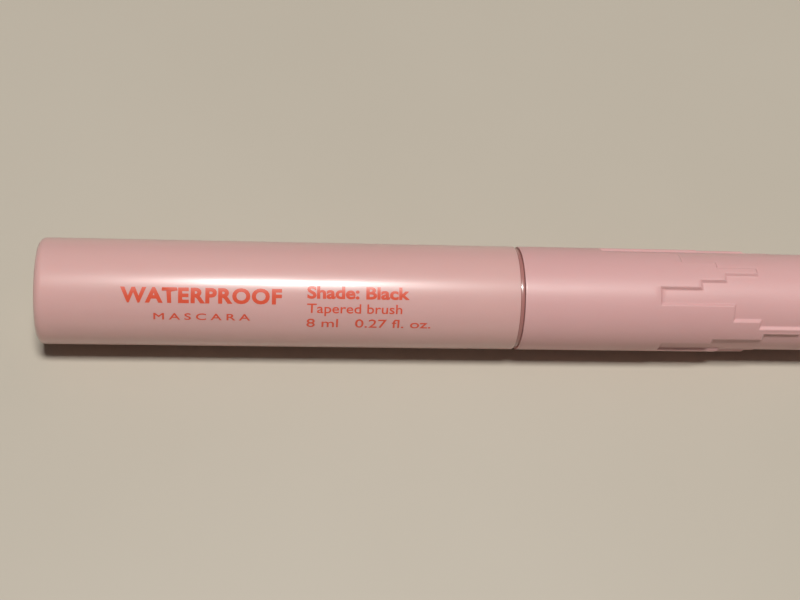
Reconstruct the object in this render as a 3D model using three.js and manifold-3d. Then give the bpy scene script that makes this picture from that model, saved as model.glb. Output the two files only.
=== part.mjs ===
// A mascara tube: a slim cylinder lying on its side, with the bottle towards -X and the screw cap,
// which carries the brush, towards +X.
//
// Millimetres, +Z up. The origin is on the surface that the tube lies on, below the middle of its
// length. Every piece is turned about one axis, so each is drawn upright in the tube's own frame:
// local Y runs along the tube from the bottle's base (0) to the cap's end, and the last group lays
// the whole tube down along X. Profiles are lists of [radius, station along the tube].
import * as THREE from 'three';
import { mergeVertices } from 'three/addons/utils/BufferGeometryUtils.js';
import Module from 'manifold-3d';

const wasm = await Module();
wasm.setup();

// Overall form
const OVERALL_LENGTH = 126;
const OUTER_RADIUS = 8.2;
const END_FILLET = 1.2;
const MOUTH_CHAMFER = 0.2;
const OUTER_SIDES = 40;
const INNER_SIDES = 24;
const WIRE_SIDES = 12;

// Bottle sleeve
const SLEEVE_LENGTH = 73.4;
const SLEEVE_WALL = 0.9;
const SLEEVE_FLOOR = 1.5;
const LABEL_RECESS_RADIUS = 5.8;
const LABEL_RECESS_DEPTH = 0.35;
const LABEL_RADIUS = 5.5;
const LABEL_THICKNESS = 0.2;

// Seam between the bottle and the cap
const SEAM_GAP = 0.7;
const CAP_MOUTH = SLEEVE_LENGTH + SEAM_GAP;
const RING_CLEARANCE = 0.1;
const RING_RADIUS = 7.9;
const RING_BORE_RADIUS = 5.85;
const RING_HUB_RADIUS = 6.5;
const RING_HUB_END = 76;

// Inner bottle
const INNER_BOTTLE_START = 1.8;
const INNER_BOTTLE_RADIUS = 7;
const INNER_BOTTLE_WALL = 1.2;
const SHOULDER_START = 72.6;
const SHOULDER_END = 73.1;
const NECK_RADIUS = 5.1;
const NECK_BORE_RADIUS = 4.1;
const NECK_RIM = 87.2;
const INNER_SHOULDER_LENGTH = 3.5;

// Screw thread, right-handed: one and a quarter turns on the neck and in the cap
const THREAD_PITCH = 2.88;
const THREAD_TURNS = 1.25;
const THREAD_WIDTH = 1;
const THREAD_STEPS_PER_TURN = 24;
const THREAD_ROOT_BITE = 0.25;
const NECK_THREAD_START = 78.44;
const NECK_THREAD_CREST = 5.65;
const CAP_THREAD_CREST = 5.75;

// Wiper, a sleeve in the neck that strips the rod and brush
const WIPER_RADIUS = 3.9;
const WIPER_BORE_RADIUS = 3.2;
const WIPER_ORIFICE_RADIUS = 2.3;
const WIPER_LIP_WALL = 0.5;
const WIPER_TIP = 75.6;
const WIPER_LIP_LENGTH = 1;
const WIPER_CONE_END = 80;
const WIPER_FLANGE_RADIUS = 5;
const WIPER_FLANGE_THICKNESS = 0.8;
const RIM_CLEARANCE = 0.15;

// Formula in the bottle, with the channel that the brush and rod keep open
const FORMULA_START = 3.2;
const FORMULA_LEVEL = 60;
const FORMULA_RADIUS = 5.6;
const FORMULA_CHANNEL_RADIUS = 4.4;
const FORMULA_CHANNEL_START = 7.5;

// Cap
const CAP_BORE_RADIUS = 7;
const CAP_END_WALL = 1.6;
const INNER_CAP_START = 76.4;
const INNER_CAP_RADIUS = 6.8;
const INNER_CAP_BORE_RADIUS = 6.2;
const INNER_CAP_CEILING = 91;
const INNER_CAP_CEILING_THICKNESS = 1.4;
const SOCKET_RADIUS = 3.15;
const SOCKET_WALL = 1.15;
const SOCKET_END = 97.6;
const SOCKET_END_WALL = 1;

// Gasket under the rod's head
const GASKET_START = 88.3;
const GASKET_THICKNESS = 1;
const GASKET_RADIUS = 5.6;
const GASKET_BORE_RADIUS = 2.3;

// Rod, wire and brush
const ROD_RADIUS = 2;
const ROD_TIP = 36.5;
const ROD_TIP_RADIUS = 1.5;
const ROD_TIP_TAPER = 1;
const ROD_HEAD_START = 89.5;
const ROD_HEAD_THICKNESS = 1.2;
const ROD_HEAD_RADIUS = 5;
const ROD_PLUG_RADIUS = 3;
const ROD_PLUG_END = 97.2;
const WIRE_SOCKET_RADIUS = 0.75;
const WIRE_SOCKET_END = 44.5;
const WIRE_RADIUS = 0.45;
const WIRE_TIP = 8.5;
const WIRE_END = 44;
const BRUSH_START = 10.5;
const BRUSH_END = 34.5;
const BRUSH_RADIUS = 4;
const BRUSH_END_RADIUS = 2.4;
const BRUSH_TAPER = 4;
const BRUSH_BORE_RADIUS = 0.75;

// Relief on the cap: the far end is stepped down, and five stair-sided notches of the same depth
// reach back from it towards the bottle. Angles are about the tube's axis, from straight up towards
// the front (-Y), and no edge of the relief runs along an edge between two facets of the cap.
// Each notch starts so far past the cap's mouth, and widens by a step at each of its rear and front
// distances past that start. The tooth behind it runs out at toothEnd past the mouth.
const RELIEF_DEPTH = 0.45;
const FACET_ANGLE = 360 / OUTER_SIDES;
const FRONT_NOTCH_ANGLE = 2.75 * FACET_ANGLE;
const NOTCH_SPACING = 72;
const REAR_STEP_WIDTHS = [1, 2, 3];
const FRONT_STEP_WIDTHS = [1, 3, 4];
const NOTCHES = [
  { start: 21.5, rear: [0, 6.5, 10.5], front: [0, 11.8, 16.2], toothEnd: 37.2 },
  { start: 13.4, rear: [0, 16, 24], front: [0, 12, 17.5], toothEnd: 42 },
  { start: 17, rear: [0, 6, 12], front: [0, 9, 14], toothEnd: 34 },
  { start: 20, rear: [0, 9, 13], front: [0, 7, 13], toothEnd: 40 },
  { start: 22.7, rear: [0, 8, 16], front: [0, 10, 15], toothEnd: 44.5 },
];

const SHAPE_ANGLE_OF_UP = -90;
const AXIS_HEIGHT = OUTER_RADIUS * Math.cos(Math.PI / OUTER_SIDES);

function material(color, roughness, metalness = 0) {
  return new THREE.MeshStandardMaterial({ color, roughness, metalness });
}

// A solid turned about the tube's axis, with a flat facet straight down.
function turned(profile, sides) {
  const points = profile.map(([radius, station]) => new THREE.Vector2(radius, station));
  return new THREE.LatheGeometry(points, sides, Math.PI / sides);
}

// A quarter-round corner of a profile, as [radius, station] pairs.
function roundCorner(centreRadius, centreStation, fillet, startDegrees, steps = 4) {
  const corner = [];
  for (let step = 0; step <= steps; step += 1) {
    const angle = THREE.MathUtils.degToRad(startDegrees + (90 * step) / steps);
    corner.push([centreRadius + fillet * Math.cos(angle), centreStation + fillet * Math.sin(angle)]);
  }
  return corner;
}

function named(name, geometry, surface) {
  const mesh = new THREE.Mesh(geometry, surface);
  mesh.name = name;
  return mesh;
}

// Turns a closed geometry into a manifold-3d solid.
function toSolid(geometry) {
  const bare = geometry.clone();
  bare.deleteAttribute('normal');
  bare.deleteAttribute('uv');
  const merged = mergeVertices(bare, 1e-4);
  const corners = merged.index.array;
  const triangles = [];
  for (let i = 0; i < corners.length; i += 3) {
    const [a, b, c] = [corners[i], corners[i + 1], corners[i + 2]];
    if (a !== b && b !== c && c !== a) {
      triangles.push(a, b, c);
    }
  }
  return new wasm.Manifold(new wasm.Mesh({
    numProp: 3,
    vertProperties: new Float32Array(merged.attributes.position.array),
    triVerts: new Uint32Array(triangles),
  }));
}

// Turns a manifold-3d solid back into a geometry.
function toGeometry(solid) {
  const mesh = solid.getMesh();
  const geometry = new THREE.BufferGeometry();
  geometry.setAttribute('position', new THREE.BufferAttribute(mesh.vertProperties, 3));
  geometry.setIndex(new THREE.BufferAttribute(mesh.triVerts, 1));
  geometry.computeVertexNormals();
  return geometry;
}

// One thread ridge: a trapezium carried round a right-hand helix, fading out at both ends.
function threadRidge(rootRadius, crestRadius, start) {
  const steps = THREAD_STEPS_PER_TURN * THREAD_TURNS;
  const rise = THREAD_PITCH * THREAD_TURNS;
  const fadeSteps = 3;
  const faint = 0.15;
  const positions = [];
  for (let step = 0; step <= steps; step += 1) {
    const angle = (2 * Math.PI * step) / THREAD_STEPS_PER_TURN;
    const middle = start + (rise * step) / steps;
    const fade = Math.max(faint, Math.min(1, step / fadeSteps, (steps - step) / fadeSteps));
    const crest = rootRadius + (crestRadius - rootRadius) * fade;
    const section = [
      [rootRadius, middle - THREAD_WIDTH / 2],
      [crest, middle - THREAD_WIDTH / 4],
      [crest, middle + THREAD_WIDTH / 4],
      [rootRadius, middle + THREAD_WIDTH / 2],
    ];
    for (const [radius, station] of section) {
      positions.push(radius * Math.sin(angle), station, radius * Math.cos(angle));
    }
  }
  const outward = crestRadius > rootRadius;
  const triangles = [];
  const quad = (a, b, c, d) => triangles.push(...(outward ? [a, b, c, a, c, d] : [a, c, b, a, d, c]));
  for (let step = 0; step < steps; step += 1) {
    for (let side = 0; side < 4; side += 1) {
      const here = 4 * step;
      const next = here + 4;
      const after = (side + 1) % 4;
      quad(here + side, next + side, next + after, here + after);
    }
  }
  quad(0, 1, 2, 3);
  const last = 4 * steps;
  quad(last + 3, last + 2, last + 1, last);
  const geometry = new THREE.BufferGeometry();
  geometry.setAttribute('position', new THREE.BufferAttribute(new Float32Array(positions), 3));
  geometry.setIndex(triangles);
  return geometry;
}

// A block that cuts one rectangle of the cap's relief: angles in degrees, stations along the tube.
function reliefCutter(fromAngle, toAngle, fromStation, toStation) {
  const floor = OUTER_RADIUS - RELIEF_DEPTH;
  const outside = OUTER_RADIUS + 1;
  const pointAt = (radius, degrees) => {
    const angle = THREE.MathUtils.degToRad(degrees + SHAPE_ANGLE_OF_UP);
    return new THREE.Vector2(radius * Math.cos(angle), radius * Math.sin(angle));
  };
  const outline = [];
  for (let angle = fromAngle; angle <= toAngle; angle += FACET_ANGLE) {
    outline.push(pointAt(outside, angle));
  }
  for (let angle = toAngle; angle >= fromAngle; angle -= FACET_ANGLE) {
    outline.push(pointAt(floor, angle));
  }
  const block = new THREE.ExtrudeGeometry(new THREE.Shape(outline), {
    depth: toStation - fromStation,
    bevelEnabled: false,
  });
  block.rotateX(-Math.PI / 2);
  block.translate(0, fromStation, 0);
  return toSolid(block);
}

// All of the relief in one solid. Notches open into the stepped-down end of the cap.
function reliefSolid() {
  const beyondEnd = OVERALL_LENGTH + 1;
  const cutters = [];
  NOTCHES.forEach((notch, index) => {
    const middle = FRONT_NOTCH_ANGLE - index * NOTCH_SPACING;
    const start = CAP_MOUTH + notch.start;
    notch.rear.forEach((distance, step) => {
      const edge = middle - REAR_STEP_WIDTHS[step] * FACET_ANGLE;
      cutters.push(reliefCutter(edge, middle, start + distance, beyondEnd));
    });
    notch.front.forEach((distance, step) => {
      const edge = middle + FRONT_STEP_WIDTHS[step] * FACET_ANGLE;
      cutters.push(reliefCutter(middle, edge, start + distance, beyondEnd));
    });
    const toothEnd = CAP_MOUTH + notch.toothEnd;
    cutters.push(reliefCutter(middle - NOTCH_SPACING, middle, toothEnd, beyondEnd));
  });
  return cutters.reduce((whole, cutter) => whole.add(cutter));
}

function bottleSleeve() {
  const bore = OUTER_RADIUS - SLEEVE_WALL;
  const profile = [
    [0, LABEL_RECESS_DEPTH],
    [LABEL_RECESS_RADIUS, LABEL_RECESS_DEPTH],
    [LABEL_RECESS_RADIUS, 0],
    ...roundCorner(OUTER_RADIUS - END_FILLET, END_FILLET, END_FILLET, -90),
    [OUTER_RADIUS, SLEEVE_LENGTH - MOUTH_CHAMFER],
    [OUTER_RADIUS - MOUTH_CHAMFER, SLEEVE_LENGTH],
    [bore, SLEEVE_LENGTH],
    [bore, SLEEVE_FLOOR],
    [0, SLEEVE_FLOOR],
  ];
  return named('bottle_sleeve', turned(profile, OUTER_SIDES), material(0xe0aca6, 0.28));
}

function baseLabel() {
  const disc = new THREE.CylinderGeometry(LABEL_RADIUS, LABEL_RADIUS, LABEL_THICKNESS, OUTER_SIDES);
  disc.translate(0, LABEL_RECESS_DEPTH / 2, 0);
  return named('base_label', disc, material(0xf2efe9, 0.6));
}

function innerBottle() {
  const bore = INNER_BOTTLE_RADIUS - INNER_BOTTLE_WALL;
  const floor = INNER_BOTTLE_START + INNER_BOTTLE_WALL;
  const shell = turned([
    [0, INNER_BOTTLE_START],
    [INNER_BOTTLE_RADIUS - MOUTH_CHAMFER, INNER_BOTTLE_START],
    [INNER_BOTTLE_RADIUS, INNER_BOTTLE_START + MOUTH_CHAMFER],
    [INNER_BOTTLE_RADIUS, SHOULDER_START],
    [NECK_RADIUS, SHOULDER_END],
    [NECK_RADIUS, NECK_RIM],
    [NECK_BORE_RADIUS, NECK_RIM],
    [NECK_BORE_RADIUS, SHOULDER_START],
    [bore, SHOULDER_START - INNER_SHOULDER_LENGTH],
    [bore, floor],
    [0, floor],
  ], OUTER_SIDES);
  const ridge = threadRidge(NECK_RADIUS - THREAD_ROOT_BITE, NECK_THREAD_CREST, NECK_THREAD_START);
  const solid = toSolid(shell).add(toSolid(ridge));
  return named('inner_bottle', toGeometry(solid), material(0xe9e4dc, 0.4));
}

function wiper() {
  const flangeStart = NECK_RIM + RIM_CLEARANCE;
  const flangeEnd = flangeStart + WIPER_FLANGE_THICKNESS;
  const profile = [
    [WIPER_ORIFICE_RADIUS, WIPER_TIP],
    [WIPER_ORIFICE_RADIUS + WIPER_LIP_WALL, WIPER_TIP],
    [WIPER_RADIUS, WIPER_CONE_END],
    [WIPER_RADIUS, flangeStart],
    [WIPER_FLANGE_RADIUS, flangeStart],
    [WIPER_FLANGE_RADIUS, flangeEnd],
    [WIPER_BORE_RADIUS, flangeEnd],
    [WIPER_BORE_RADIUS, WIPER_CONE_END],
    [WIPER_ORIFICE_RADIUS, WIPER_TIP + WIPER_LIP_LENGTH],
    [WIPER_ORIFICE_RADIUS, WIPER_TIP],
  ];
  return named('wiper', turned(profile, INNER_SIDES), material(0xf0ede6, 0.45));
}

function mascaraFormula() {
  const profile = [
    [0, FORMULA_START],
    [FORMULA_RADIUS, FORMULA_START],
    [FORMULA_RADIUS, FORMULA_LEVEL],
    [FORMULA_CHANNEL_RADIUS, FORMULA_LEVEL],
    [FORMULA_CHANNEL_RADIUS, FORMULA_CHANNEL_START],
    [0, FORMULA_CHANNEL_START],
  ];
  return named('mascara_formula', turned(profile, INNER_SIDES), material(0x0b0a0b, 0.25));
}

function collarRing() {
  const start = SLEEVE_LENGTH + RING_CLEARANCE;
  const flangeEnd = CAP_MOUTH - RING_CLEARANCE;
  const profile = [
    [RING_BORE_RADIUS, start],
    [RING_RADIUS, start],
    [RING_RADIUS, flangeEnd],
    [RING_HUB_RADIUS, flangeEnd],
    [RING_HUB_RADIUS, RING_HUB_END],
    [RING_BORE_RADIUS, RING_HUB_END],
    [RING_BORE_RADIUS, start],
  ];
  return named('collar_ring', turned(profile, OUTER_SIDES), material(0xb0706a, 0.3, 0.4));
}

function capGasket() {
  const end = GASKET_START + GASKET_THICKNESS;
  const profile = [
    [GASKET_BORE_RADIUS, GASKET_START],
    [GASKET_RADIUS, GASKET_START],
    [GASKET_RADIUS, end],
    [GASKET_BORE_RADIUS, end],
    [GASKET_BORE_RADIUS, GASKET_START],
  ];
  return named('cap_gasket', turned(profile, INNER_SIDES), material(0xf4f4f2, 0.9));
}

function capShell() {
  const ceiling = OVERALL_LENGTH - CAP_END_WALL;
  const shell = turned([
    [0, ceiling],
    [CAP_BORE_RADIUS, ceiling],
    [CAP_BORE_RADIUS, CAP_MOUTH],
    [OUTER_RADIUS - MOUTH_CHAMFER, CAP_MOUTH],
    [OUTER_RADIUS, CAP_MOUTH + MOUTH_CHAMFER],
    ...roundCorner(OUTER_RADIUS - END_FILLET, OVERALL_LENGTH - END_FILLET, END_FILLET, 0),
    [0, OVERALL_LENGTH],
  ], OUTER_SIDES);
  const solid = toSolid(shell).subtract(reliefSolid());
  return named('cap_shell', toGeometry(solid), material(0xe0a8a4, 0.4));
}

function innerCap() {
  const ceilingTop = INNER_CAP_CEILING + INNER_CAP_CEILING_THICKNESS;
  const shell = turned([
    [0, SOCKET_END],
    [SOCKET_RADIUS, SOCKET_END],
    [SOCKET_RADIUS, INNER_CAP_CEILING],
    [INNER_CAP_BORE_RADIUS, INNER_CAP_CEILING],
    [INNER_CAP_BORE_RADIUS, INNER_CAP_START],
    [INNER_CAP_RADIUS, INNER_CAP_START],
    [INNER_CAP_RADIUS, ceilingTop],
    [SOCKET_RADIUS + SOCKET_WALL, ceilingTop],
    [SOCKET_RADIUS + SOCKET_WALL, SOCKET_END + SOCKET_END_WALL],
    [0, SOCKET_END + SOCKET_END_WALL],
  ], OUTER_SIDES);
  const start = NECK_THREAD_START - THREAD_PITCH / 2;
  const ridge = threadRidge(INNER_CAP_BORE_RADIUS + THREAD_ROOT_BITE, CAP_THREAD_CREST, start);
  const solid = toSolid(shell).add(toSolid(ridge));
  return named('inner_cap', toGeometry(solid), material(0xe9e4dc, 0.45));
}

function rod() {
  const headEnd = ROD_HEAD_START + ROD_HEAD_THICKNESS;
  const profile = [
    [0, WIRE_SOCKET_END],
    [WIRE_SOCKET_RADIUS, WIRE_SOCKET_END],
    [WIRE_SOCKET_RADIUS, ROD_TIP],
    [ROD_TIP_RADIUS, ROD_TIP],
    [ROD_RADIUS, ROD_TIP + ROD_TIP_TAPER],
    [ROD_RADIUS, ROD_HEAD_START],
    [ROD_HEAD_RADIUS, ROD_HEAD_START],
    [ROD_HEAD_RADIUS, headEnd],
    [ROD_PLUG_RADIUS, headEnd],
    [ROD_PLUG_RADIUS, ROD_PLUG_END],
    [0, ROD_PLUG_END],
  ];
  return named('rod', turned(profile, INNER_SIDES), material(0x17161a, 0.35));
}

function wireCore() {
  const profile = [
    [0, WIRE_TIP],
    [WIRE_RADIUS, WIRE_TIP + WIRE_RADIUS],
    [WIRE_RADIUS, WIRE_END],
    [0, WIRE_END],
  ];
  return named('wire_core', turned(profile, WIRE_SIDES), material(0xb9b9bd, 0.3, 1));
}

function bristles() {
  const profile = [
    [BRUSH_BORE_RADIUS, BRUSH_START],
    [BRUSH_END_RADIUS, BRUSH_START],
    [BRUSH_RADIUS, BRUSH_START + BRUSH_TAPER],
    [BRUSH_RADIUS, BRUSH_END - BRUSH_TAPER],
    [BRUSH_END_RADIUS, BRUSH_END],
    [BRUSH_BORE_RADIUS, BRUSH_END],
    [BRUSH_BORE_RADIUS, BRUSH_START],
  ];
  return named('bristles', turned(profile, INNER_SIDES), material(0x121113, 0.7));
}

const bottle = new THREE.Group();
bottle.add(bottleSleeve(), baseLabel(), innerBottle(), wiper(), mascaraFormula());

const wand = new THREE.Group();
wand.add(capShell(), innerCap(), rod(), wireCore(), bristles());

const tube = new THREE.Group();
tube.add(bottle, collarRing(), capGasket(), wand);
tube.rotation.z = -Math.PI / 2;
tube.position.set(-OVERALL_LENGTH / 2, 0, AXIS_HEIGHT);

const mascara = new THREE.Group();
mascara.add(tube);

export default mascara;
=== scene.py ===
"""The looks of a mascara tube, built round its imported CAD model.

The tube lies along X with its bottle towards -X. A place on it is given as a station (millimetres
along the axis from the bottle's base), a radius (millimetres) and an angle (degrees about the axis,
from straight up towards the front, -Y); place() turns these into metres in the model's frame.
"""
import math
import random

import bmesh
import bpy
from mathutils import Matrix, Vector, noise


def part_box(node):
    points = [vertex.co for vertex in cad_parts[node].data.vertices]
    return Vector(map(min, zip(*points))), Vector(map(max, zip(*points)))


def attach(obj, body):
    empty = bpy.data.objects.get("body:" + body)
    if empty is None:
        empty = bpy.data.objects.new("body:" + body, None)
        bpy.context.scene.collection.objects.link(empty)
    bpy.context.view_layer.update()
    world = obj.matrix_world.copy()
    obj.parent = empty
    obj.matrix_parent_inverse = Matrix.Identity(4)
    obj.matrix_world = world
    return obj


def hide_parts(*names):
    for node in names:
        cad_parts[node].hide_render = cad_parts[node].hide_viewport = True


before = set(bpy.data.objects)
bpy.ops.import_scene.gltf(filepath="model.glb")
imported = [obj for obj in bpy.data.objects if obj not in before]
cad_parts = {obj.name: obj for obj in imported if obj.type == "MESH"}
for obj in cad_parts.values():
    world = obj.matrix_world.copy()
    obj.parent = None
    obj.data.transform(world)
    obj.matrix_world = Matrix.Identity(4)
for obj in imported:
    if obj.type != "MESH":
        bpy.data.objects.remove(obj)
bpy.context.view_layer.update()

MM = 0.001
TINY = 1e-6

# How fine the meshes are: sides to a turn, steps to a fillet, and the angle that counts as an edge
SIDES = 192
ROUND_STEPS = 5
SHARP_ANGLE = math.radians(35)

SLEEVE_LOW, SLEEVE_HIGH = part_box("bottle_sleeve")
BASE_X = SLEEVE_LOW.x
AXIS_Z = (SLEEVE_LOW.z + SLEEVE_HIGH.z) / 2

# Walls, bores and gaps that a node's box does not tell, in millimetres
SLEEVE_WALL = 0.9
SLEEVE_FLOOR = 1.5
END_FILLET = 1.2
LABEL_RECESS_DEPTH = 0.35
LABEL_GAP = 0.3
CAP_WALL = 1.2
CAP_END_WALL = 1.6
BOTTLE_WALL = 1.2
NECK_RADIUS = 5.1
NECK_BORE_RADIUS = 4.1
SHOULDER = 72.9

# The two threads, in millimetres and turns. A ridge grows to its full height in 1 / THREAD_FADE turns.
THREAD_PITCH = 2.88
THREAD_TURNS = 1.25
THREAD_HEIGHT = 0.55
CAP_THREAD_HEIGHT = 0.45
THREAD_HALF_WIDTH = 0.38
THREAD_FLANK = 0.14
THREAD_FADE = 6
THREAD_ROW = 0.08
NECK_THREAD_START = 78.44
CAP_THREAD_START = NECK_THREAD_START - THREAD_PITCH / 2

# Relief on the cap: stair-sided notches that open into the stepped-down end. Each starts so far past
# the cap's mouth, and widens at each rear and front distance past that start. The widths count
# STEP_ANGLE degrees. Past tooth_end, the wall between a notch and the next is set down as well.
RELIEF_DEPTH = 0.45
RELIEF_EDGE = 0.26
STEP_ANGLE = 9.0
FRONT_NOTCH_ANGLE = 2.75 * STEP_ANGLE
NOTCH_SPACING = 72.0
REAR_STEP_WIDTHS = (1, 2, 3)
FRONT_STEP_WIDTHS = (1, 3, 4)
NOTCHES = (
    {"start": 21.5, "rear": (0, 6.5, 10.5), "front": (0, 11.8, 16.2), "tooth_end": 37.2},
    {"start": 13.4, "rear": (0, 16, 24), "front": (0, 12, 17.5), "tooth_end": 42},
    {"start": 17, "rear": (0, 6, 12), "front": (0, 9, 14), "tooth_end": 34},
    {"start": 20, "rear": (0, 9, 13), "front": (0, 7, 13), "tooth_end": 40},
    {"start": 22.7, "rear": (0, 8, 16), "front": (0, 10, 15), "tooth_end": 44.5},
)


def place(station, radius, angle):
    """A point on the tube, in metres."""
    turn = math.radians(angle)
    return Vector((
        BASE_X + station * MM,
        -radius * math.sin(turn) * MM,
        AXIS_Z + radius * math.cos(turn) * MM,
    ))


def extent(node):
    """A CAD node's first station, last station and radius, in millimetres."""
    low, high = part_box(node)
    return (low.x - BASE_X) / MM, (high.x - BASE_X) / MM, (high.z - low.z) / 2 / MM


# ---------------------------------------------------------------- shapes


def rounded(corners):
    """A profile from (station, radius, fillet) corners, with each filleted corner as an arc."""
    points = []
    for index, (station, radius, fillet) in enumerate(corners):
        here = Vector((station, radius))
        if fillet <= 0:
            points.append(here)
            continue
        before = Vector(corners[index - 1][:2])
        after = Vector(corners[(index + 1) % len(corners)][:2])
        inward = (before - here).normalized()
        outward = (after - here).normalized()
        half = inward.angle(outward) / 2
        reach = fillet / math.tan(half)
        centre = here + (inward + outward).normalized() * (fillet / math.sin(half))
        start = here + inward * reach - centre
        end = here + outward * reach - centre
        for step in range(ROUND_STEPS + 1):
            share = step / ROUND_STEPS
            points.append(centre + start.slerp(end, share) * fillet)
    return [(p.x, p.y) for p in points]


def object_from(mesh, name):
    """A linked object with that mesh, smooth except over sharp edges."""
    mesh.shade_smooth()
    mesh.set_sharp_from_angle(angle=SHARP_ANGLE)
    piece = bpy.data.objects.new(name, mesh)
    bpy.context.scene.collection.objects.link(piece)
    return piece


def even_angles(sides):
    """Angles evenly spaced round a turn."""
    return [360 * side / sides for side in range(sides)]


def mesh_from(work, name):
    """A finished mesh from a bmesh, with its normals outwards."""
    bmesh.ops.recalc_face_normals(work, faces=work.faces)
    mesh = bpy.data.meshes.new(name)
    work.to_mesh(mesh)
    work.free()
    return mesh


def revolve(name, profile, angles=None, ring=False, shift=None):
    """A solid turned about the axis. ring closes the profile on itself, and shift gives an extra
    radius for a station, radius and angle."""
    angles = angles or even_angles(SIDES)
    work = bmesh.new()
    columns = []
    poles = {}
    for angle in angles:
        column = []
        for row, (station, radius) in enumerate(profile):
            if radius < TINY:
                if row not in poles:
                    poles[row] = work.verts.new(place(station, 0, 0))
                column.append(poles[row])
            else:
                extra = shift(station, radius, angle) if shift else 0
                column.append(work.verts.new(place(station, radius + extra, angle)))
        columns.append(column)
    rows = len(profile) if ring else len(profile) - 1
    for here, there in zip(columns, columns[1:] + columns[:1]):
        for row in range(rows):
            after = (row + 1) % len(profile)
            corners = []
            for vert in (here[row], there[row], there[after], here[after]):
                if vert not in corners:
                    corners.append(vert)
            if len(corners) > 2:
                work.faces.new(corners)
    return object_from(mesh_from(work, name), name)


def ramp(distance, half_width):
    """0 to 1 as distance goes from minus to plus half_width, with soft ends."""
    share = min(1.0, max(0.0, (distance + half_width) / (2 * half_width)))
    return share * share * (3 - 2 * share)


def spaced(start, end, step):
    """Values from start to end, evenly spaced about step apart."""
    count = max(1, round((end - start) / step))
    return [start + (end - start) * index / count for index in range(count + 1)]


def thread_height(station, angle, first_station):
    """How much of a thread ridge, 0 to 1, stands at a place on the helix's cylinder."""
    highest = 0.0
    travelled = (angle % 360) / 360
    while travelled <= THREAD_TURNS:
        off = abs(station - first_station - travelled * THREAD_PITCH)
        fade = min(1.0, travelled * THREAD_FADE, (THREAD_TURNS - travelled) * THREAD_FADE)
        highest = max(highest, ramp(THREAD_HALF_WIDTH - off, THREAD_FLANK) * fade)
        travelled += 1
    return highest


# ---------------------------------------------------------------- materials


class Surface:
    """A procedural material, with short calls for the nodes that this scene uses. Noise runs in
    features a metre, bump heights in millimetres and colours in linear red, green and blue."""

    def __init__(self, name):
        self.material = bpy.data.materials.new(name)
        self.material.use_nodes = True
        self.tree = self.material.node_tree
        self.shader = self.tree.nodes["Principled BSDF"]
        self.coordinates = self.tree.nodes.new("ShaderNodeTexCoord")

    def link(self, output, target):
        """Joins an output to an input."""
        self.tree.links.new(output, target)

    def set(self, **values):
        """Sets the shader's own sockets, by name with _ for a space."""
        for name, value in values.items():
            self.shader.inputs[name.replace("_", " ")].default_value = value

    def noise(self, scale, stretch=(1, 1, 1), detail=3.0, roughness=0.5):
        """Noise in the object's own coordinates."""
        mapping = self.tree.nodes.new("ShaderNodeMapping")
        mapping.inputs["Scale"].default_value = stretch
        self.link(self.coordinates.outputs["Object"], mapping.inputs["Vector"])
        texture = self.tree.nodes.new("ShaderNodeTexNoise")
        texture.inputs["Scale"].default_value = scale
        texture.inputs["Detail"].default_value = detail
        texture.inputs["Roughness"].default_value = roughness
        self.link(mapping.outputs["Vector"], texture.inputs["Vector"])
        return texture.outputs["Fac"]

    def remap(self, value, low, high, to_low, to_high):
        """value mapped from low..high to to_low..to_high, and clamped."""
        node = self.tree.nodes.new("ShaderNodeMapRange")
        node.inputs["From Min"].default_value = low
        node.inputs["From Max"].default_value = high
        node.inputs["To Min"].default_value = to_low
        node.inputs["To Max"].default_value = to_high
        self.link(value, node.inputs["Value"])
        return node.outputs["Result"]

    def mix(self, amount, first, second):
        """A colour between first and second, each a colour or an output."""
        node = self.tree.nodes.new("ShaderNodeMix")
        node.data_type = "RGBA"
        self.link(amount, node.inputs["Factor"])
        colour_inputs = [socket for socket in node.inputs if socket.type == "RGBA"]
        for target, value in zip(colour_inputs, (first, second)):
            if isinstance(value, tuple):
                target.default_value = (*value, 1)
            else:
                self.link(value, target)
        return [socket for socket in node.outputs if socket.type == "RGBA"][0]

    def math(self, operation, first, second):
        """A sum or product of two outputs or numbers."""
        node = self.tree.nodes.new("ShaderNodeMath")
        node.operation = operation
        for socket, value in zip(node.inputs, (first, second)):
            if isinstance(value, (int, float)):
                socket.default_value = value
            else:
                self.link(value, socket)
        return node.outputs["Value"]

    def position(self, axis):
        """The object coordinate X, Y or Z, in metres."""
        node = self.tree.nodes.new("ShaderNodeSeparateXYZ")
        self.link(self.coordinates.outputs["Object"], node.inputs["Vector"])
        return node.outputs[axis]

    def colour(self, output):
        """Takes the base colour from an output."""
        self.link(output, self.shader.inputs["Base Color"])

    def rough(self, output):
        """Takes the roughness from an output."""
        self.link(output, self.shader.inputs["Roughness"])

    def bump(self, height, distance_mm, strength=1.0):
        """Raises the surface by an output, to distance_mm where it is 1."""
        node = self.tree.nodes.new("ShaderNodeBump")
        node.inputs["Distance"].default_value = distance_mm * MM
        node.inputs["Strength"].default_value = strength
        self.link(height, node.inputs["Height"])
        self.link(node.outputs["Normal"], self.shader.inputs["Normal"])


def darker(colour, share):
    """A colour with each channel taken down to a share of itself."""
    return tuple(channel * share for channel in colour)


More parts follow.
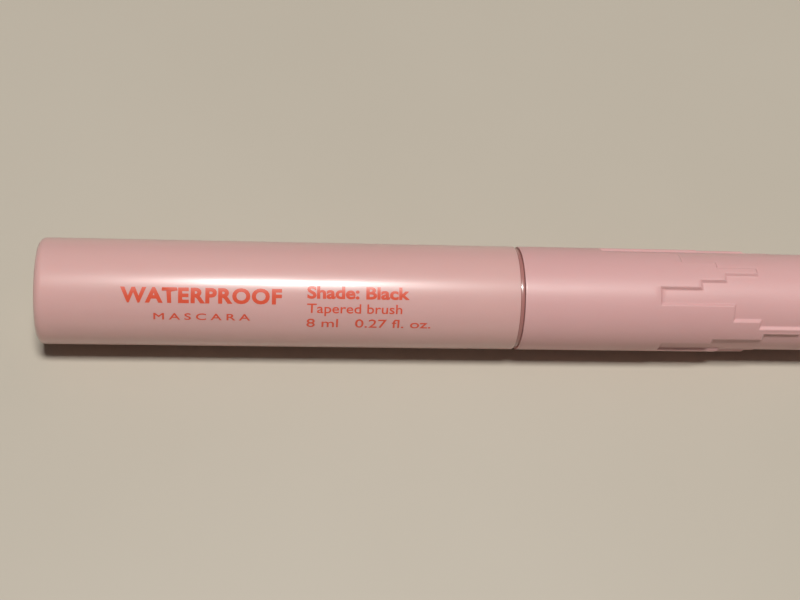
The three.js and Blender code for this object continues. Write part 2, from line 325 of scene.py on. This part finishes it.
def pink_plastic(name, base, blush, roughness, coat):
    """Glossy moulded plastic with a faint flow of colour, handling haze and hairline scratches."""
    surface = Surface(name)
    surface.set(Coat_Weight=coat, Coat_Roughness=0.20, IOR=1.49, Coat_IOR=1.5)
    surface.set(Subsurface_Weight=0.12, Subsurface_Scale=0.0012)
    surface.set(Subsurface_Radius=(1.0, 0.45, 0.35))
    flow = surface.noise(60, stretch=(0.35, 1, 1), detail=2)
    surface.colour(surface.mix(surface.remap(flow, 0.35, 0.65, 0, 1), base, blush))
    haze = surface.noise(160, detail=4)
    hairlines = surface.noise(3200, stretch=(0.03, 1, 1), detail=2)
    worn = surface.math("MULTIPLY", haze, hairlines)
    surface.rough(surface.remap(worn, 0.12, 0.42, roughness - 0.03, roughness + 0.06))
    surface.bump(hairlines, 0.0006, 0.4)
    return surface.material


def ring_plastic():
    """Deep rose gloss with fine turning marks."""
    surface = Surface("rose_ring")
    surface.set(Coat_Weight=0.5, Coat_Roughness=0.08)
    marks = surface.noise(2500, stretch=(1, 0.02, 0.02), detail=2)
    surface.colour(surface.mix(marks, (0.38, 0.165, 0.15), (0.44, 0.20, 0.185)))
    surface.rough(surface.remap(marks, 0.3, 0.7, 0.2, 0.34))
    surface.bump(marks, 0.003, 0.4)
    return surface.material


def natural_plastic(name, tint, smear_start, smear_end):
    """Milky polypropylene. Formula is smeared on it from one station, and thickest past the other."""
    surface = Surface(name)
    surface.set(Subsurface_Weight=0.5, Subsurface_Scale=0.002, IOR=1.49)
    surface.set(Subsurface_Radius=(1.0, 0.9, 0.8))
    cloud = surface.noise(150, detail=4)
    milky = surface.mix(cloud, tint, darker(tint, 0.93))
    start, end = BASE_X + smear_start * MM, BASE_X + smear_end * MM
    likely = surface.remap(surface.position("X"), start, end, -0.45, 0.12)
    streaks = surface.noise(330, stretch=(0.7, 1, 1), detail=3)
    smear = surface.remap(surface.math("ADD", likely, streaks), 0.5, 0.54, 0, 1)
    surface.colour(surface.mix(smear, milky, (0.012, 0.010, 0.011)))
    surface.rough(surface.remap(cloud, 0.3, 0.7, 0.32, 0.48))
    surface.bump(streaks, 0.02, 0.3)
    return surface.material


def wet_black(name, base, gloss_low, gloss_high, lump_mm):
    """Black cream, or black plastic smeared with it: patches of wet gloss over duller film."""
    surface = Surface(name)
    surface.set(Coat_Weight=0.4, Coat_Roughness=0.12, IOR=1.45)
    patches = surface.noise(700, detail=4, roughness=0.6)
    lumps = surface.noise(1600, stretch=(0.5, 1, 1), detail=3)
    wet = surface.remap(patches, 0.42, 0.58, 0, 1)
    surface.colour(surface.mix(wet, base, darker(base, 0.5)))
    surface.rough(surface.remap(wet, 0, 1, gloss_high, gloss_low))
    surface.bump(surface.math("ADD", patches, lumps), lump_mm, 0.6)
    return surface.material


def fibre_nylon():
    """Black nylon fibres with cream dried on some of them."""
    surface = Surface("bristle_fibre")
    surface.set(IOR=1.53)
    coat = surface.noise(900, detail=3)
    caked = surface.remap(coat, 0.45, 0.6, 0, 1)
    surface.colour(surface.mix(caked, (0.020, 0.018, 0.020), (0.006, 0.005, 0.006)))
    surface.rough(surface.remap(coat, 0.3, 0.7, 0.3, 0.6))
    surface.bump(coat, 0.02, 0.5)
    return surface.material


def drawn_steel():
    """Bright drawn wire with lengthways lines."""
    surface = Surface("wire_steel")
    surface.set(Metallic=1.0)
    lines = surface.noise(4000, stretch=(0.1, 1, 1), detail=3)
    surface.colour(surface.mix(lines, (0.42, 0.42, 0.43), (0.60, 0.60, 0.61)))
    surface.rough(surface.remap(lines, 0.3, 0.7, 0.2, 0.36))
    surface.bump(lines, 0.003, 0.4)
    return surface.material


def foam():
    """Closed-cell foam."""
    surface = Surface("gasket_foam")
    cells = surface.noise(2600, detail=2)
    surface.colour(surface.mix(cells, (0.78, 0.77, 0.74), (0.90, 0.89, 0.87)))
    surface.rough(surface.remap(cells, 0.3, 0.7, 0.75, 0.95))
    surface.bump(cells, 0.06, 0.8)
    return surface.material


def label_paper():
    """Coated sticker paper with faint fibres."""
    surface = Surface("label_paper")
    fibres = surface.noise(1800, stretch=(1, 1, 0.25), detail=5)
    surface.colour(surface.mix(fibres, (0.86, 0.83, 0.79), (0.80, 0.77, 0.72)))
    surface.rough(surface.remap(fibres, 0.3, 0.7, 0.4, 0.58))
    surface.bump(fibres, 0.01, 0.5)
    return surface.material


def coral_ink():
    """Printed coral ink, a little uneven where the screen laid it down."""
    surface = Surface("coral_ink")
    surface.set(Coat_Weight=0.3, Coat_Roughness=0.12)
    lay = surface.noise(1500, detail=4)
    surface.colour(surface.mix(lay, (0.80, 0.115, 0.055), (0.70, 0.085, 0.042)))
    surface.rough(surface.remap(lay, 0.3, 0.7, 0.28, 0.42))
    surface.bump(lay, 0.004, 0.4)
    return surface.material


def finish_piece(piece, material, body, slot, *nodes):
    """Gives a piece its material and its body, and hides the CAD nodes that it stands for."""
    piece.data.materials.clear()
    piece.data.materials.append(material)
    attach(piece, body)
    if nodes:
        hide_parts(*nodes)
    return piece


# ---------------------------------------------------------------- bottle


def make_sleeve(material):
    """The outer pink cup, with a shallow recess for the label in its base."""
    start, end, radius = extent("bottle_sleeve")
    recess = start + LABEL_RECESS_DEPTH
    recess_radius = extent("base_label")[2] + LABEL_GAP
    floor = start + SLEEVE_FLOOR
    bore = radius - SLEEVE_WALL
    profile = rounded([
        (recess, 0, 0),
        (recess, recess_radius, 0.08),
        (start, recess_radius, 0.12),
        (start, radius, END_FILLET),
        (end, radius, 0.12),
        (end, bore, 0.1),
        (floor, bore, 0.5),
        (floor, 0, 0),
    ])
    piece = revolve("bottle_sleeve_shell", profile)
    return finish_piece(piece, material, "bottle", "pink_gloss", "bottle_sleeve")


def make_label(material):
    """The round label in the base."""
    start, end, radius = extent("base_label")
    profile = rounded([(start, 0, 0), (start, radius, 0.05), (end, radius, 0.03), (end, 0, 0)])
    piece = revolve("base_label_sticker", profile)
    return finish_piece(piece, material, "bottle", "label_paper", "base_label")


def make_inner_bottle(material):
    """The bottle inside the sleeve, with its threaded neck."""
    start, end, radius = extent("inner_bottle")
    bore = radius - BOTTLE_WALL
    floor = start + BOTTLE_WALL
    shoulder_start = SHOULDER - 0.3
    neck_root = SHOULDER + 0.2
    inner_shoulder = SHOULDER - 3.4
    inner_neck_root = SHOULDER - 0.5
    thread_margin = 0.8
    thread_end = NECK_THREAD_START + THREAD_TURNS * THREAD_PITCH
    thread_zone = spaced(NECK_THREAD_START - thread_margin, thread_end + thread_margin, THREAD_ROW)
    first, last = thread_zone[0], thread_zone[-1]
    before = rounded([
        (start, 0, 0),
        (start, radius, 0.8),
        (shoulder_start, radius, 0.25),
        (neck_root, NECK_RADIUS, 0.2),
        (first, NECK_RADIUS, 0),
    ])
    after = rounded([
        (last, NECK_RADIUS, 0),
        (end, NECK_RADIUS, 0.15),
        (end, NECK_BORE_RADIUS, 0.15),
        (inner_neck_root, NECK_BORE_RADIUS, 0.6),
        (inner_shoulder, bore, 0.6),
        (floor, bore, 0.8),
        (floor, 0, 0),
    ])
    outer = [(station, NECK_RADIUS) for station in thread_zone[1:-1]]

    def ridge(station, profile_radius, angle):
        if abs(profile_radius - NECK_RADIUS) > TINY or not first < station < last:
            return 0
        return THREAD_HEIGHT * thread_height(station, angle, NECK_THREAD_START)

    piece = revolve("inner_bottle_shell", before + outer + after, shift=ridge)
    return finish_piece(piece, material, "bottle", "natural_plastic", "inner_bottle")


def make_wiper(material):
    """The soft insert in the neck, whose narrow lip strips the brush."""
    start, end, flange = extent("wiper")
    orifice = 2.3
    lip_wall = 0.5
    lip_length = 1.0
    barrel = 3.9
    barrel_start = 80.0
    bore = 3.2
    flange_start = end - 0.8
    profile = rounded([
        (start, orifice, 0.1),
        (start, orifice + lip_wall, 0.15),
        (barrel_start, barrel, 0.8),
        (flange_start, barrel, 0.1),
        (flange_start, flange, 0.15),
        (end, flange, 0.25),
        (end, bore, 0.35),
        (barrel_start, bore, 0.8),
        (start + lip_length, orifice, 0.4),
    ])
    piece = revolve("wiper_insert", profile, ring=True)
    return finish_piece(piece, material, "bottle", "wiper_plastic", "wiper")


def make_formula(material):
    """The formula fills the bottle round an uneven channel, with a slumped free surface."""
    start, end, radius = extent("mascara_formula")
    channel_start = 7.5
    channel = 4.45
    channel_row = 0.8
    level = end - 0.9
    slump_depth = 0.25
    slumps_per_metre = 450

    def slump(station, profile_radius, angle):
        if abs(profile_radius - channel) > TINY:
            return 0
        wave = noise.noise(place(station, profile_radius, angle) * slumps_per_metre)
        return slump_depth + slump_depth * wave

    channel_wall = [(station, channel) for station in spaced(channel_start, level, channel_row)]
    channel_wall.reverse()
    profile = [(start, 0), (start, radius), (level, radius)] + channel_wall + [(channel_start, 0)]
    piece = revolve("mascara_formula_fill", profile, shift=slump)
    return finish_piece(piece, material, "bottle", "formula", "mascara_formula")


# ---------------------------------------------------------------- print

PRINT_RELIEF = 0.02
PRINT_ROW = 0.16

# In the font's units, where a line of text is 1 high
FONT_CAPITAL = 0.69
FONT_WELD = 0.004


def mesh_of_curve(name, curve):
    """The mesh that a curve or text makes."""
    maker = bpy.data.objects.new(name, curve)
    bpy.context.scene.collection.objects.link(maker)
    bpy.context.view_layer.update()
    solid = maker.evaluated_get(bpy.context.evaluated_depsgraph_get())
    mesh = bpy.data.meshes.new_from_object(solid)
    bpy.data.objects.remove(maker)
    return mesh


def corner_move(vert, weight):
    """The move that takes both side walls at a letter's corner outwards by weight. At a sharp corner
    it is held back, so that the corner does not become a spike."""
    same_wall = 0.001
    folded_back = 0.3
    sharpest = 0.4
    walls = [face.normal.copy() for face in vert.link_faces if abs(face.normal.z) < 0.5]
    if not walls:
        return Vector((0, 0, 0))
    outward = Vector((0, 0, 0))
    for normal in walls:
        if (normal - walls[0]).length > same_wall:
            outward = walls[0] + normal
    if outward.length < folded_back:
        outward = 2 * walls[0]
    return outward * (weight / max(sharpest, outward.length_squared / 2))


def flat_text(name, text, weight, letter_space):
    """Lettering as a bmesh in the font's units, one unit thick each side, and thickened by weight."""
    curve = bpy.data.curves.new(name, "FONT")
    curve.body = text
    curve.space_character = letter_space
    curve.resolution_u = 4
    curve.extrude = 1.0
    mesh = mesh_of_curve(name, curve)
    work = bmesh.new()
    work.from_mesh(mesh)
    bpy.data.meshes.remove(mesh)
    bmesh.ops.remove_doubles(work, verts=work.verts, dist=FONT_WELD)
    bmesh.ops.recalc_face_normals(work, faces=work.faces)
    work.normal_update()
    moves = [corner_move(vert, weight) for vert in work.verts]
    for vert, move in zip(work.verts, moves):
        vert.co += move
    return work


def width_of(work):
    """The lowest and highest X of a bmesh."""
    across = [vert.co.x for vert in work.verts]
    return min(across), max(across)


def cut_in_rows(work, row):
    """Cuts lettering across at every row, so that it can be bent."""
    low = min(vert.co.y for vert in work.verts)
    high = max(vert.co.y for vert in work.verts)
    for level in spaced(low, high, row)[1:-1]:
        everything = work.verts[:] + work.edges[:] + work.faces[:]
        bmesh.ops.bisect_plane(
            work, geom=everything, dist=TINY, plane_co=(0, level, 0), plane_no=(0, 1, 0)
        )


def wrapped_text(name, text, first, last, baseline, cap_height, weight, letter_space=1.0):
    """Thin raised lettering on the sleeve, from one station to another, along a baseline angle."""
    radius = extent("bottle_sleeve")[2]
    work = flat_text(name, text, weight, letter_space)
    left, right = width_of(work)
    across = (last - first) / (right - left)
    up = cap_height / FONT_CAPITAL
    cut_in_rows(work, PRINT_ROW / up)
    for vert in work.verts:
        station = first + (vert.co.x - left) * across
        angle = baseline - math.degrees(vert.co.y * up / radius)
        lift = PRINT_RELIEF if vert.co.z > 0 else -PRINT_RELIEF
        vert.co = place(station, radius + lift, angle)
    return object_from(mesh_from(work, name), name)


def make_print(material):
    """Generic wording where such a tube carries its name, kind and contents. Each line has its piece's
    name, its text, first and last station, baseline angle, capital height, weight and letter space."""
    lines = (
        ("print_trait", "WATERPROOF", 12.8, 36.8, 39.5, 2.1, 0.045, 1.12),
        ("print_kind", "MASCARA", 17.7, 32.1, 59.0, 1.05, 0.012, 1.5),
        ("print_shade", "Shade: Black", 40.6, 56.2, 33.0, 1.75, 0.036, 1.0),
        ("print_brush", "Tapered brush", 40.6, 55.1, 49.0, 1.45, 0.008, 1.0),
        ("print_contents", "8 ml   0.27 fl. oz.", 40.6, 59.6, 66.0, 1.45, 0.008, 1.0),
    )
    for line in lines:
        piece = wrapped_text(*line)
        finish_piece(piece, material, "bottle", "pink_gloss")


def make_label_print(material):
    """The shade again on the base's label, upright for a reader who faces it."""
    start, _, radius = extent("base_label")
    work = flat_text("label_print", "BLACK", weight=0.01, letter_space=1.1)
    left, right = width_of(work)
    width = 1.3 * radius
    scale = width / (right - left)
    for vert in work.verts:
        side = (vert.co.x - (left + right) / 2) * scale * MM
        up = (vert.co.y - FONT_CAPITAL / 2) * scale * MM
        station = start - PRINT_RELIEF if vert.co.z > 0 else start + PRINT_RELIEF
        vert.co = Vector((BASE_X + station * MM, -side, AXIS_Z + up))
    piece = object_from(mesh_from(work, "label_print"), "label_print")
    return finish_piece(piece, material, "bottle", "label_paper")


# ---------------------------------------------------------------- seam and cap


def make_collar_ring(material):
    """The loose ring whose rim shows in the seam."""
    start, end, radius = extent("collar_ring")
    bore = 5.85
    hub = 6.5
    rim_start = start - 0.05
    flange_end = rim_start + 0.6
    profile = rounded([
        (rim_start, bore, 0.08),
        (rim_start, radius, 0.08),
        (flange_end, radius, 0.08),
        (flange_end, hub, 0.08),
        (end, hub, 0.15),
        (end, bore, 0.1),
    ])
    piece = revolve("collar_trim_ring", profile, ring=True)
    return finish_piece(piece, material, "collar", "rose_ring", "collar_ring")


def make_gasket(material):
    """The soft washer under the rod's head."""
    start, end, radius = extent("cap_gasket")
    bore = 2.3
    profile = rounded([
        (start, bore, 0.15), (start, radius, 0.2), (end, radius, 0.2), (end, bore, 0.15),
    ])
    piece = revolve("cap_sealing_washer", profile, ring=True)
    return finish_piece(piece, material, "gasket", "gasket_foam", "cap_gasket")


def relief_blocks(mouth):
    """The relief as (first angle, last angle, first station) blocks that run on to the end."""
    blocks = []
    for index, notch in enumerate(NOTCHES):
        middle = FRONT_NOTCH_ANGLE - index * NOTCH_SPACING
        start = mouth + notch["start"]
        for distance, steps in zip(notch["rear"], REAR_STEP_WIDTHS):
            blocks.append((middle - steps * STEP_ANGLE, middle, start + distance))
        for distance, steps in zip(notch["front"], FRONT_STEP_WIDTHS):
            blocks.append((middle, middle + steps * STEP_ANGLE, start + distance))
        blocks.append((middle - NOTCH_SPACING, middle, mouth + notch["tooth_end"]))
    return blocks


def without_near_twins(values, least):
    """Sorted values, leaving out any that follows the last one kept by no more than least."""
    kept = []
    for value in sorted(values):
        if not kept or value - kept[-1] > least:
            kept.append(value)
    return kept


def relief_grid(blocks, radius, first, last):
    """The stations and angles of the cap's wall: even ones, and closer ones over each block's edges."""
    edge_angle = math.degrees(RELIEF_EDGE / radius)
    edge_lines = (-1.0, -0.5, 0.0, 0.5, 1.0)
    stations = set(spaced(first, last, 1.0))
    angles = set(even_angles(SIDES))
    for first_angle, last_angle, start in blocks:
        stations.update(start + line * RELIEF_EDGE for line in edge_lines)
        for side in (first_angle, last_angle):
            angles.update((side + line * edge_angle) % 360 for line in edge_lines)
    return sorted(stations), without_near_twins(angles, 0.05)


def block_depth(blocks, radius, station, angle):
    """How far down a place is, 0 to 1, from the block that sets it down the most."""
    deepest = 0.0
    for first, last, start in blocks:
        along = ramp(station - start, RELIEF_EDGE)
        if along <= deepest:
            continue
        half = (last - first) / 2
        off = (angle - (first + half) + 180) % 360 - 180
        inside = math.radians(half - abs(off)) * radius
        deepest = max(deepest, min(along, ramp(inside, RELIEF_EDGE)))
    return deepest


def relief_depth(blocks, radius, station, angle):
    """The relief's depth at a place, 0 to 1. Blocks that meet on a line would leave a ridge there, so
    the line is taken down as far as both its sides are."""
    reach = 2.2 * math.degrees(RELIEF_EDGE / radius)
    here, before, after = (
        block_depth(blocks, radius, station, angle + move) for move in (0, -reach, reach)
    )
    return max(here, min(before, after))


def make_cap(material):
    """The cap's shell: a turned shell whose outer wall is set down inside the relief's blocks."""
    mouth, end, radius = extent("cap_shell")
    bore = radius - CAP_WALL
    wall_start = mouth + 0.4
    wall_end = end - END_FILLET - 0.4
    ceiling = end - CAP_END_WALL
    near_bore = bore + 0.2
    beside = 0.05
    blocks = relief_blocks(mouth)
    stations, angles = relief_grid(blocks, radius, wall_start, wall_end - 2 * beside)

    def set_down(station, profile_radius, angle):
        if station < wall_start or profile_radius <= near_bore:
            return 0
        if station > wall_end - beside:
            return -RELIEF_DEPTH * (profile_radius - bore) / (radius - bore)
        return -RELIEF_DEPTH * relief_depth(blocks, radius, station, angle)

    lip = rounded([
        (wall_start, bore, 0), (mouth, bore, 0.1), (mouth, radius, 0.12), (wall_start, radius, 0),
    ])
    outer = [(station, radius) for station in stations]
    end_corner = rounded([(wall_end, radius, 0), (end, radius, END_FILLET), (end, 0, 0)])
    inside = rounded([(ceiling, 0, 0), (ceiling, bore, 0.5), (wall_start, bore, 0)])
    profile = lip[:-1] + outer + end_corner + inside[:-1]
    piece = revolve("cap_outer_shell", profile, angles=angles, ring=True, shift=set_down)
    return finish_piece(piece, material, "wand", "pink_cap", "cap_shell")


def make_inner_cap(material):
    """The threaded insert, with fine ribs that grip the shell and a socket for the rod's plug."""
    start, end, radius = extent("inner_cap")
    bore = 6.2
    ceiling = 91.0
    ceiling_top = 92.4
    socket = 3.15
    socket_end = end - 1.0
    spigot = socket + 1.15
    first = CAP_THREAD_START - 0.5
    last = CAP_THREAD_START + 4.3
    beside = 0.05
    thread_zone = [(station, bore) for station in reversed(spaced(first, last, THREAD_ROW))]
    before = rounded([
        (socket_end, 0, 0),
        (socket_end, socket, 0.2),
        (ceiling, socket, 0.1),
        (ceiling, bore, 0.2),
        (last + beside, bore, 0),
    ])
    after = rounded([
        (first - beside, bore, 0),
        (start, bore, 0.1),
        (start, radius, 0.1),
        (ceiling_top, radius, 0.3),
        (ceiling_top, spigot, 0.3),
        (end, spigot, 0.3),
        (end, 0, 0),
    ])
    rib_count = 24
    rib_height = 0.12
    rib_start = start + 2

    def detail(station, profile_radius, angle):
        if abs(profile_radius - bore) < TINY:
            return -CAP_THREAD_HEIGHT * thread_height(station, angle, CAP_THREAD_START)
        if abs(profile_radius - radius) < TINY and station > rib_start:
            return rib_height * max(0.0, math.cos(math.radians(angle * rib_count))) ** 4
        return 0

    piece = revolve("inner_cap_insert", before + thread_zone + after, shift=detail)
    return finish_piece(piece, material, "wand", "natural_plastic", "inner_cap")


# ---------------------------------------------------------------- rod and brush


def make_rod(material):
    """The stem, with a socket for the wire at its tip, and a head and a beaded plug at its top."""
    start, end, head = extent("rod")
    stem = 2.0
    tip = 1.5
    tip_length = 1.0
    socket = 0.75
    socket_end = 44.5
    head_start = 89.5
    head_end = 90.7
    plug = 3.0
    bead = plug + 0.08
    bead_start = end - 1.2
    bead_top = end - 0.9
    plug_end = plug - 0.5
    profile = rounded([
        (socket_end, 0, 0),
        (socket_end, socket, 0.1),
        (start, socket, 0.1),
        (start, tip, 0.25),
        (start + tip_length, stem, 0.6),
        (head_start, stem, 0.4),
        (head_start, head, 0.15),
        (head_end, head, 0.15),
        (head_end, plug, 0.1),
        (bead_start, plug, 0.1),
        (bead_top, bead, 0.05),
        (end, plug_end, 0.2),
        (end, 0, 0),
    ])
    piece = revolve("applicator_rod", profile)
    return finish_piece(piece, material, "wand", "rod_plastic", "rod")


STRAND_RADIUS = 0.22
TWIST_PITCH = 2.4


def make_wire(material):
    """One wire, folded at the tip and twisted round itself."""
    start, end, _ = extent("wire_core")
    bend = start + 2 * STRAND_RADIUS
    steps_per_turn = 14
    nose_steps = 6
    count = round((end - bend) / TWIST_PITCH * steps_per_turn)
    first_leg = []
    second_leg = []
    for step in range(count + 1):
        station = bend + (end - bend) * step / count
        angle = 360 * (station - bend) / TWIST_PITCH
        first_leg.append(place(station, STRAND_RADIUS, angle))
        second_leg.append(place(station, STRAND_RADIUS, angle + 180))
    nose = []
    for step in range(1, nose_steps):
        swing = math.pi * step / nose_steps
        offset = STRAND_RADIUS * math.cos(swing)
        station = bend - STRAND_RADIUS * math.sin(swing)
        nose.append(place(station, abs(offset), 0 if offset > 0 else 180))
    path = list(reversed(first_leg)) + nose + second_leg
    curve = bpy.data.curves.new("twisted_wire", "CURVE")
    curve.dimensions = "3D"
    curve.bevel_depth = STRAND_RADIUS * MM
    curve.bevel_resolution = 2
    curve.use_fill_caps = True
    spline = curve.splines.new("POLY")
    spline.points.add(len(path) - 1)
    for point, position in zip(spline.points, path):
        point.co = (*position, 1)
    piece = object_from(mesh_of_curve("twisted_wire_path", curve), "twisted_wire")
    return finish_piece(piece, material, "wand", "wire_steel", "wire_core")


def brush_envelope(station, start, end, radius):
    """The brush's radius at a station: full in the middle and drawn in at both ends."""
    taper = 4.0
    end_radius = 2.4
    near = min(station - start, end - station)
    return end_radius + (radius - end_radius) * math.sin(math.pi / 2 * min(1.0, near / taper))


def add_fibre(work, station, angle, reach, lean, twist, thickness):
    """One fibre: a three-sided tapered rod from the wire out to reach. It bends by lean millimetres
    along the tube and twist degrees round it."""
    root = 0.25
    taper = 0.45
    sides = 3
    steps = 3
    rings = []
    for step in range(steps + 1):
        share = step / steps
        radius = root + (reach - root) * share
        middle_station = station + lean * share * share
        middle_angle = angle + twist * share * share
        width = thickness * (1 - taper * share)
        ring = []
        for side in range(sides):
            turn = 2 * math.pi * side / sides
            across = math.degrees(width * math.sin(turn) / max(radius, 0.3))
            ring.append(work.verts.new(
                place(middle_station + width * math.cos(turn), radius, middle_angle + across)
            ))
        rings.append(ring)
    for lower, upper in zip(rings, rings[1:]):
        for side in range(sides):
            after = (side + 1) % sides
            work.faces.new((lower[side], lower[after], upper[after], upper[side]))
    work.faces.new(list(reversed(rings[0])))
    work.faces.new(rings[-1])


def make_bristles(material):
    """Fibres caught between the wire's strands, so they stand in a double helix and cling in tufts."""
    start, end, radius = extent("bristles")
    dice = random.Random(11)
    fibre_count = 2600
    thickness = 0.045
    root_margin = 0.15
    tip_margin = 0.1
    fan = 13
    unevenness = 0.07
    tuft_lean, stray_lean = 0.22, 0.08
    tuft_twist, stray_twist = 10, 3
    work = bmesh.new()
    for index in range(fibre_count):
        share = (index + dice.random()) / fibre_count
        station = start + root_margin + (end - start - 2 * root_margin) * share
        side = 180 * (index % 2)
        angle = 360 * (station - start) / TWIST_PITCH + side + dice.gauss(0, fan)
        reach = brush_envelope(station, start, end, radius) * (1 - unevenness * dice.random())
        # Neighbours lean alike, because this noise changes slowly along and round the brush
        tuft = noise.noise(Vector((station * 1.3, math.radians(angle) * 1.1, 3.7)))
        lean = tuft_lean * tuft + dice.uniform(-stray_lean, stray_lean)
        lean = max(start + tip_margin - station, min(end - tip_margin - station, lean))
        twist = tuft_twist * tuft + dice.uniform(-stray_twist, stray_twist)
        add_fibre(work, station, angle, reach, lean, twist, thickness)
    piece = object_from(mesh_from(work, "brush_fibres"), "brush_fibres")
    return finish_piece(piece, material, "wand", "bristle_fibre", "bristles")


def make_brush_load(material):
    """Formula held in the heart of the brush, as a lumpy sleeve round the wire."""
    start, end, radius = extent("bristles")
    stations = spaced(start + 0.4, end - 0.3, 0.25)
    first, last = stations[0], stations[-1]
    depth = 1.25
    wire_outside = 0.5
    wire_inside = 0.47
    slope = 0.2
    lip = 0.1
    ridge_height = 0.35
    lump_height = 0.3
    lumps_per_metre = 900
    profile = [(first - slope, wire_outside)]
    for station in stations:
        profile.append((station, depth * brush_envelope(station, start, end, radius) / radius))
    profile += [(last + slope, wire_outside), (last + lip, wire_inside), (first - lip, wire_inside)]

    def clot(station, profile_radius, angle):
        if profile_radius <= wire_outside:
            return 0
        helix = math.radians(2 * (angle - 360 * (station - start) / TWIST_PITCH))
        lump = noise.noise(place(station, profile_radius, angle) * lumps_per_metre)
        return ridge_height * math.cos(helix) + lump_height * lump

    piece = revolve("brush_load", profile, angles=even_angles(72), ring=True, shift=clot)
    return finish_piece(piece, material, "wand", "formula")


# ---------------------------------------------------------------- scene


WALL_RADIUS = 1.5


def stage_object(name, corners, faces, material):
    """An object that is scenery, not part of the tube. Its corners are in metres."""
    mesh = bpy.data.meshes.new(name)
    mesh.from_pydata(corners, [], faces)
    mesh.shade_smooth()
    mesh.materials.append(material)
    scenery = bpy.data.objects.new(name, mesh)
    bpy.context.scene.collection.objects.link(scenery)
    return scenery


def make_floor():
    """A plain pale satin counter that reaches just past the wall."""
    surface = Surface("floor")
    surface.set(IOR=1.5, Roughness=0.5)
    cloud = surface.noise(14, detail=4)
    surface.colour(surface.mix(cloud, (0.50, 0.455, 0.375), (0.55, 0.505, 0.425)))
    half = WALL_RADIUS + 0.1
    corners = [(-half, -half, 0), (half, -half, 0), (half, half, 0), (-half, half, 0)]
    stage_object("floor", corners, [(0, 1, 2, 3)], surface.material)


def make_backdrop():
    """A pale wall round the counter, for low views, that glows with painted light, with painted shade
    darkening it towards the floor line. Only the camera sees it, so it throws no light on the tube."""
    surface = Surface("backdrop")
    surface.set(Base_Color=(0, 0, 0, 1), Specular_IOR_Level=0, Emission_Strength=1)
    palest_height = 0.35
    # Painted shade: the wall's glow is darkest at the floor line and palest from palest_height up
    painted_shade_fade = surface.remap(surface.position("Z"), 0, palest_height, 0, 1)
    painted_glow = surface.mix(painted_shade_fade, (0.26, 0.232, 0.19), (0.45, 0.41, 0.345))
    surface.link(painted_glow, surface.shader.inputs["Emission Color"])
    height = 2.0
    sides = 96
    corners = []
    faces = []
    for side in range(sides):
        turn = 2 * math.pi * side / sides
        x, y = WALL_RADIUS * math.cos(turn), WALL_RADIUS * math.sin(turn)
        corners += [(x, y, 0), (x, y, height)]
        here, there = 2 * side, 2 * ((side + 1) % sides)
        faces.append((there, here, here + 1, there + 1))
    wall = stage_object("backdrop", corners, faces, surface.material)
    wall.visible_diffuse = False
    wall.visible_glossy = False
    wall.visible_transmission = False
    wall.visible_shadow = False


def area_light(name, location, target, size, power, colour):
    """A rectangular lamp that faces a target."""
    light = bpy.data.lights.new(name, "AREA")
    light.shape = "RECTANGLE"
    light.size, light.size_y = size
    light.energy = power
    light.color = colour
    lamp = bpy.data.objects.new(name, light)
    lamp.location = location
    lamp.rotation_euler = (Vector(target) - Vector(location)).to_track_quat("-Z", "Y").to_euler()
    bpy.context.scene.collection.objects.link(lamp)


def make_lights():
    """A soft lamp almost overhead and a weak even surround."""
    distance = 2.5
    tilt = math.radians(85)
    target = (0.06, 0.0, AXIS_Z)
    over = (target[0], -distance * math.cos(tilt), AXIS_Z + distance * math.sin(tilt))
    area_light("key", over, target, size=(0.55, 0.40), power=56.0, colour=(1.0, 0.97, 0.94))
    world = bpy.data.worlds.new("surround")
    world.use_nodes = True
    background = world.node_tree.nodes["Background"]
    background.inputs["Color"].default_value = (1.0, 0.95, 0.9, 1)
    background.inputs["Strength"].default_value = 0.07
    bpy.context.scene.world = world


def make_camera():
    """The photograph's view: from the front and above, a little left of the middle."""
    position = (-0.03205, -0.10921, 0.20120)
    angles = (29.416, -5.957, -2.344)
    data = bpy.data.cameras.new("camera")
    data.sensor_width = 36
    data.lens = 63.7
    data.clip_start = 0.01
    data.clip_end = 20
    camera = bpy.data.objects.new("camera", data)
    camera.location = position
    camera.rotation_euler = [math.radians(angle) for angle in angles]
    bpy.context.scene.collection.objects.link(camera)
    bpy.context.scene.camera = camera


def main():
    """Builds every piece, then the stage."""
    pink = pink_plastic(
        "pink_gloss", base=(0.73, 0.44, 0.418), blush=(0.71, 0.42, 0.398), roughness=0.35, coat=0.46
    )
    cap_pink = pink_plastic(
        "pink_cap", base=(0.73, 0.43, 0.422), blush=(0.71, 0.405, 0.40), roughness=0.42, coat=0.12
    )
    natural = natural_plastic(
        "natural_plastic", tint=(0.80, 0.76, 0.70), smear_start=82.0, smear_end=87.5
    )
    soft = natural_plastic("wiper_plastic", tint=(0.84, 0.81, 0.77), smear_start=78.0, smear_end=88.0)
    # The inner cap is clean: its smear would start past the tube's end
    unsmeared = natural_plastic(
        "inner_cap_plastic", tint=(0.80, 0.76, 0.70), smear_start=130.0, smear_end=140.0
    )
    formula = wet_black(
        "formula", base=(0.010, 0.009, 0.010), gloss_low=0.12, gloss_high=0.35, lump_mm=0.05
    )
    rod_black = wet_black(
        "rod_plastic", base=(0.014, 0.013, 0.015), gloss_low=0.12, gloss_high=0.38, lump_mm=0.02
    )
    ink = coral_ink()

    make_sleeve(pink)
    make_label(label_paper())
    make_inner_bottle(natural)
    make_wiper(soft)
    make_formula(formula)
    make_print(ink)
    make_label_print(ink)
    make_collar_ring(ring_plastic())
    make_gasket(foam())
    make_cap(cap_pink)
    make_inner_cap(unsmeared)
    make_rod(rod_black)
    make_wire(drawn_steel())
    make_bristles(fibre_nylon())
    make_brush_load(formula)

    make_floor()
    make_backdrop()
    make_lights()
    make_camera()
    bpy.context.scene.view_settings.view_transform = "Standard"


main()
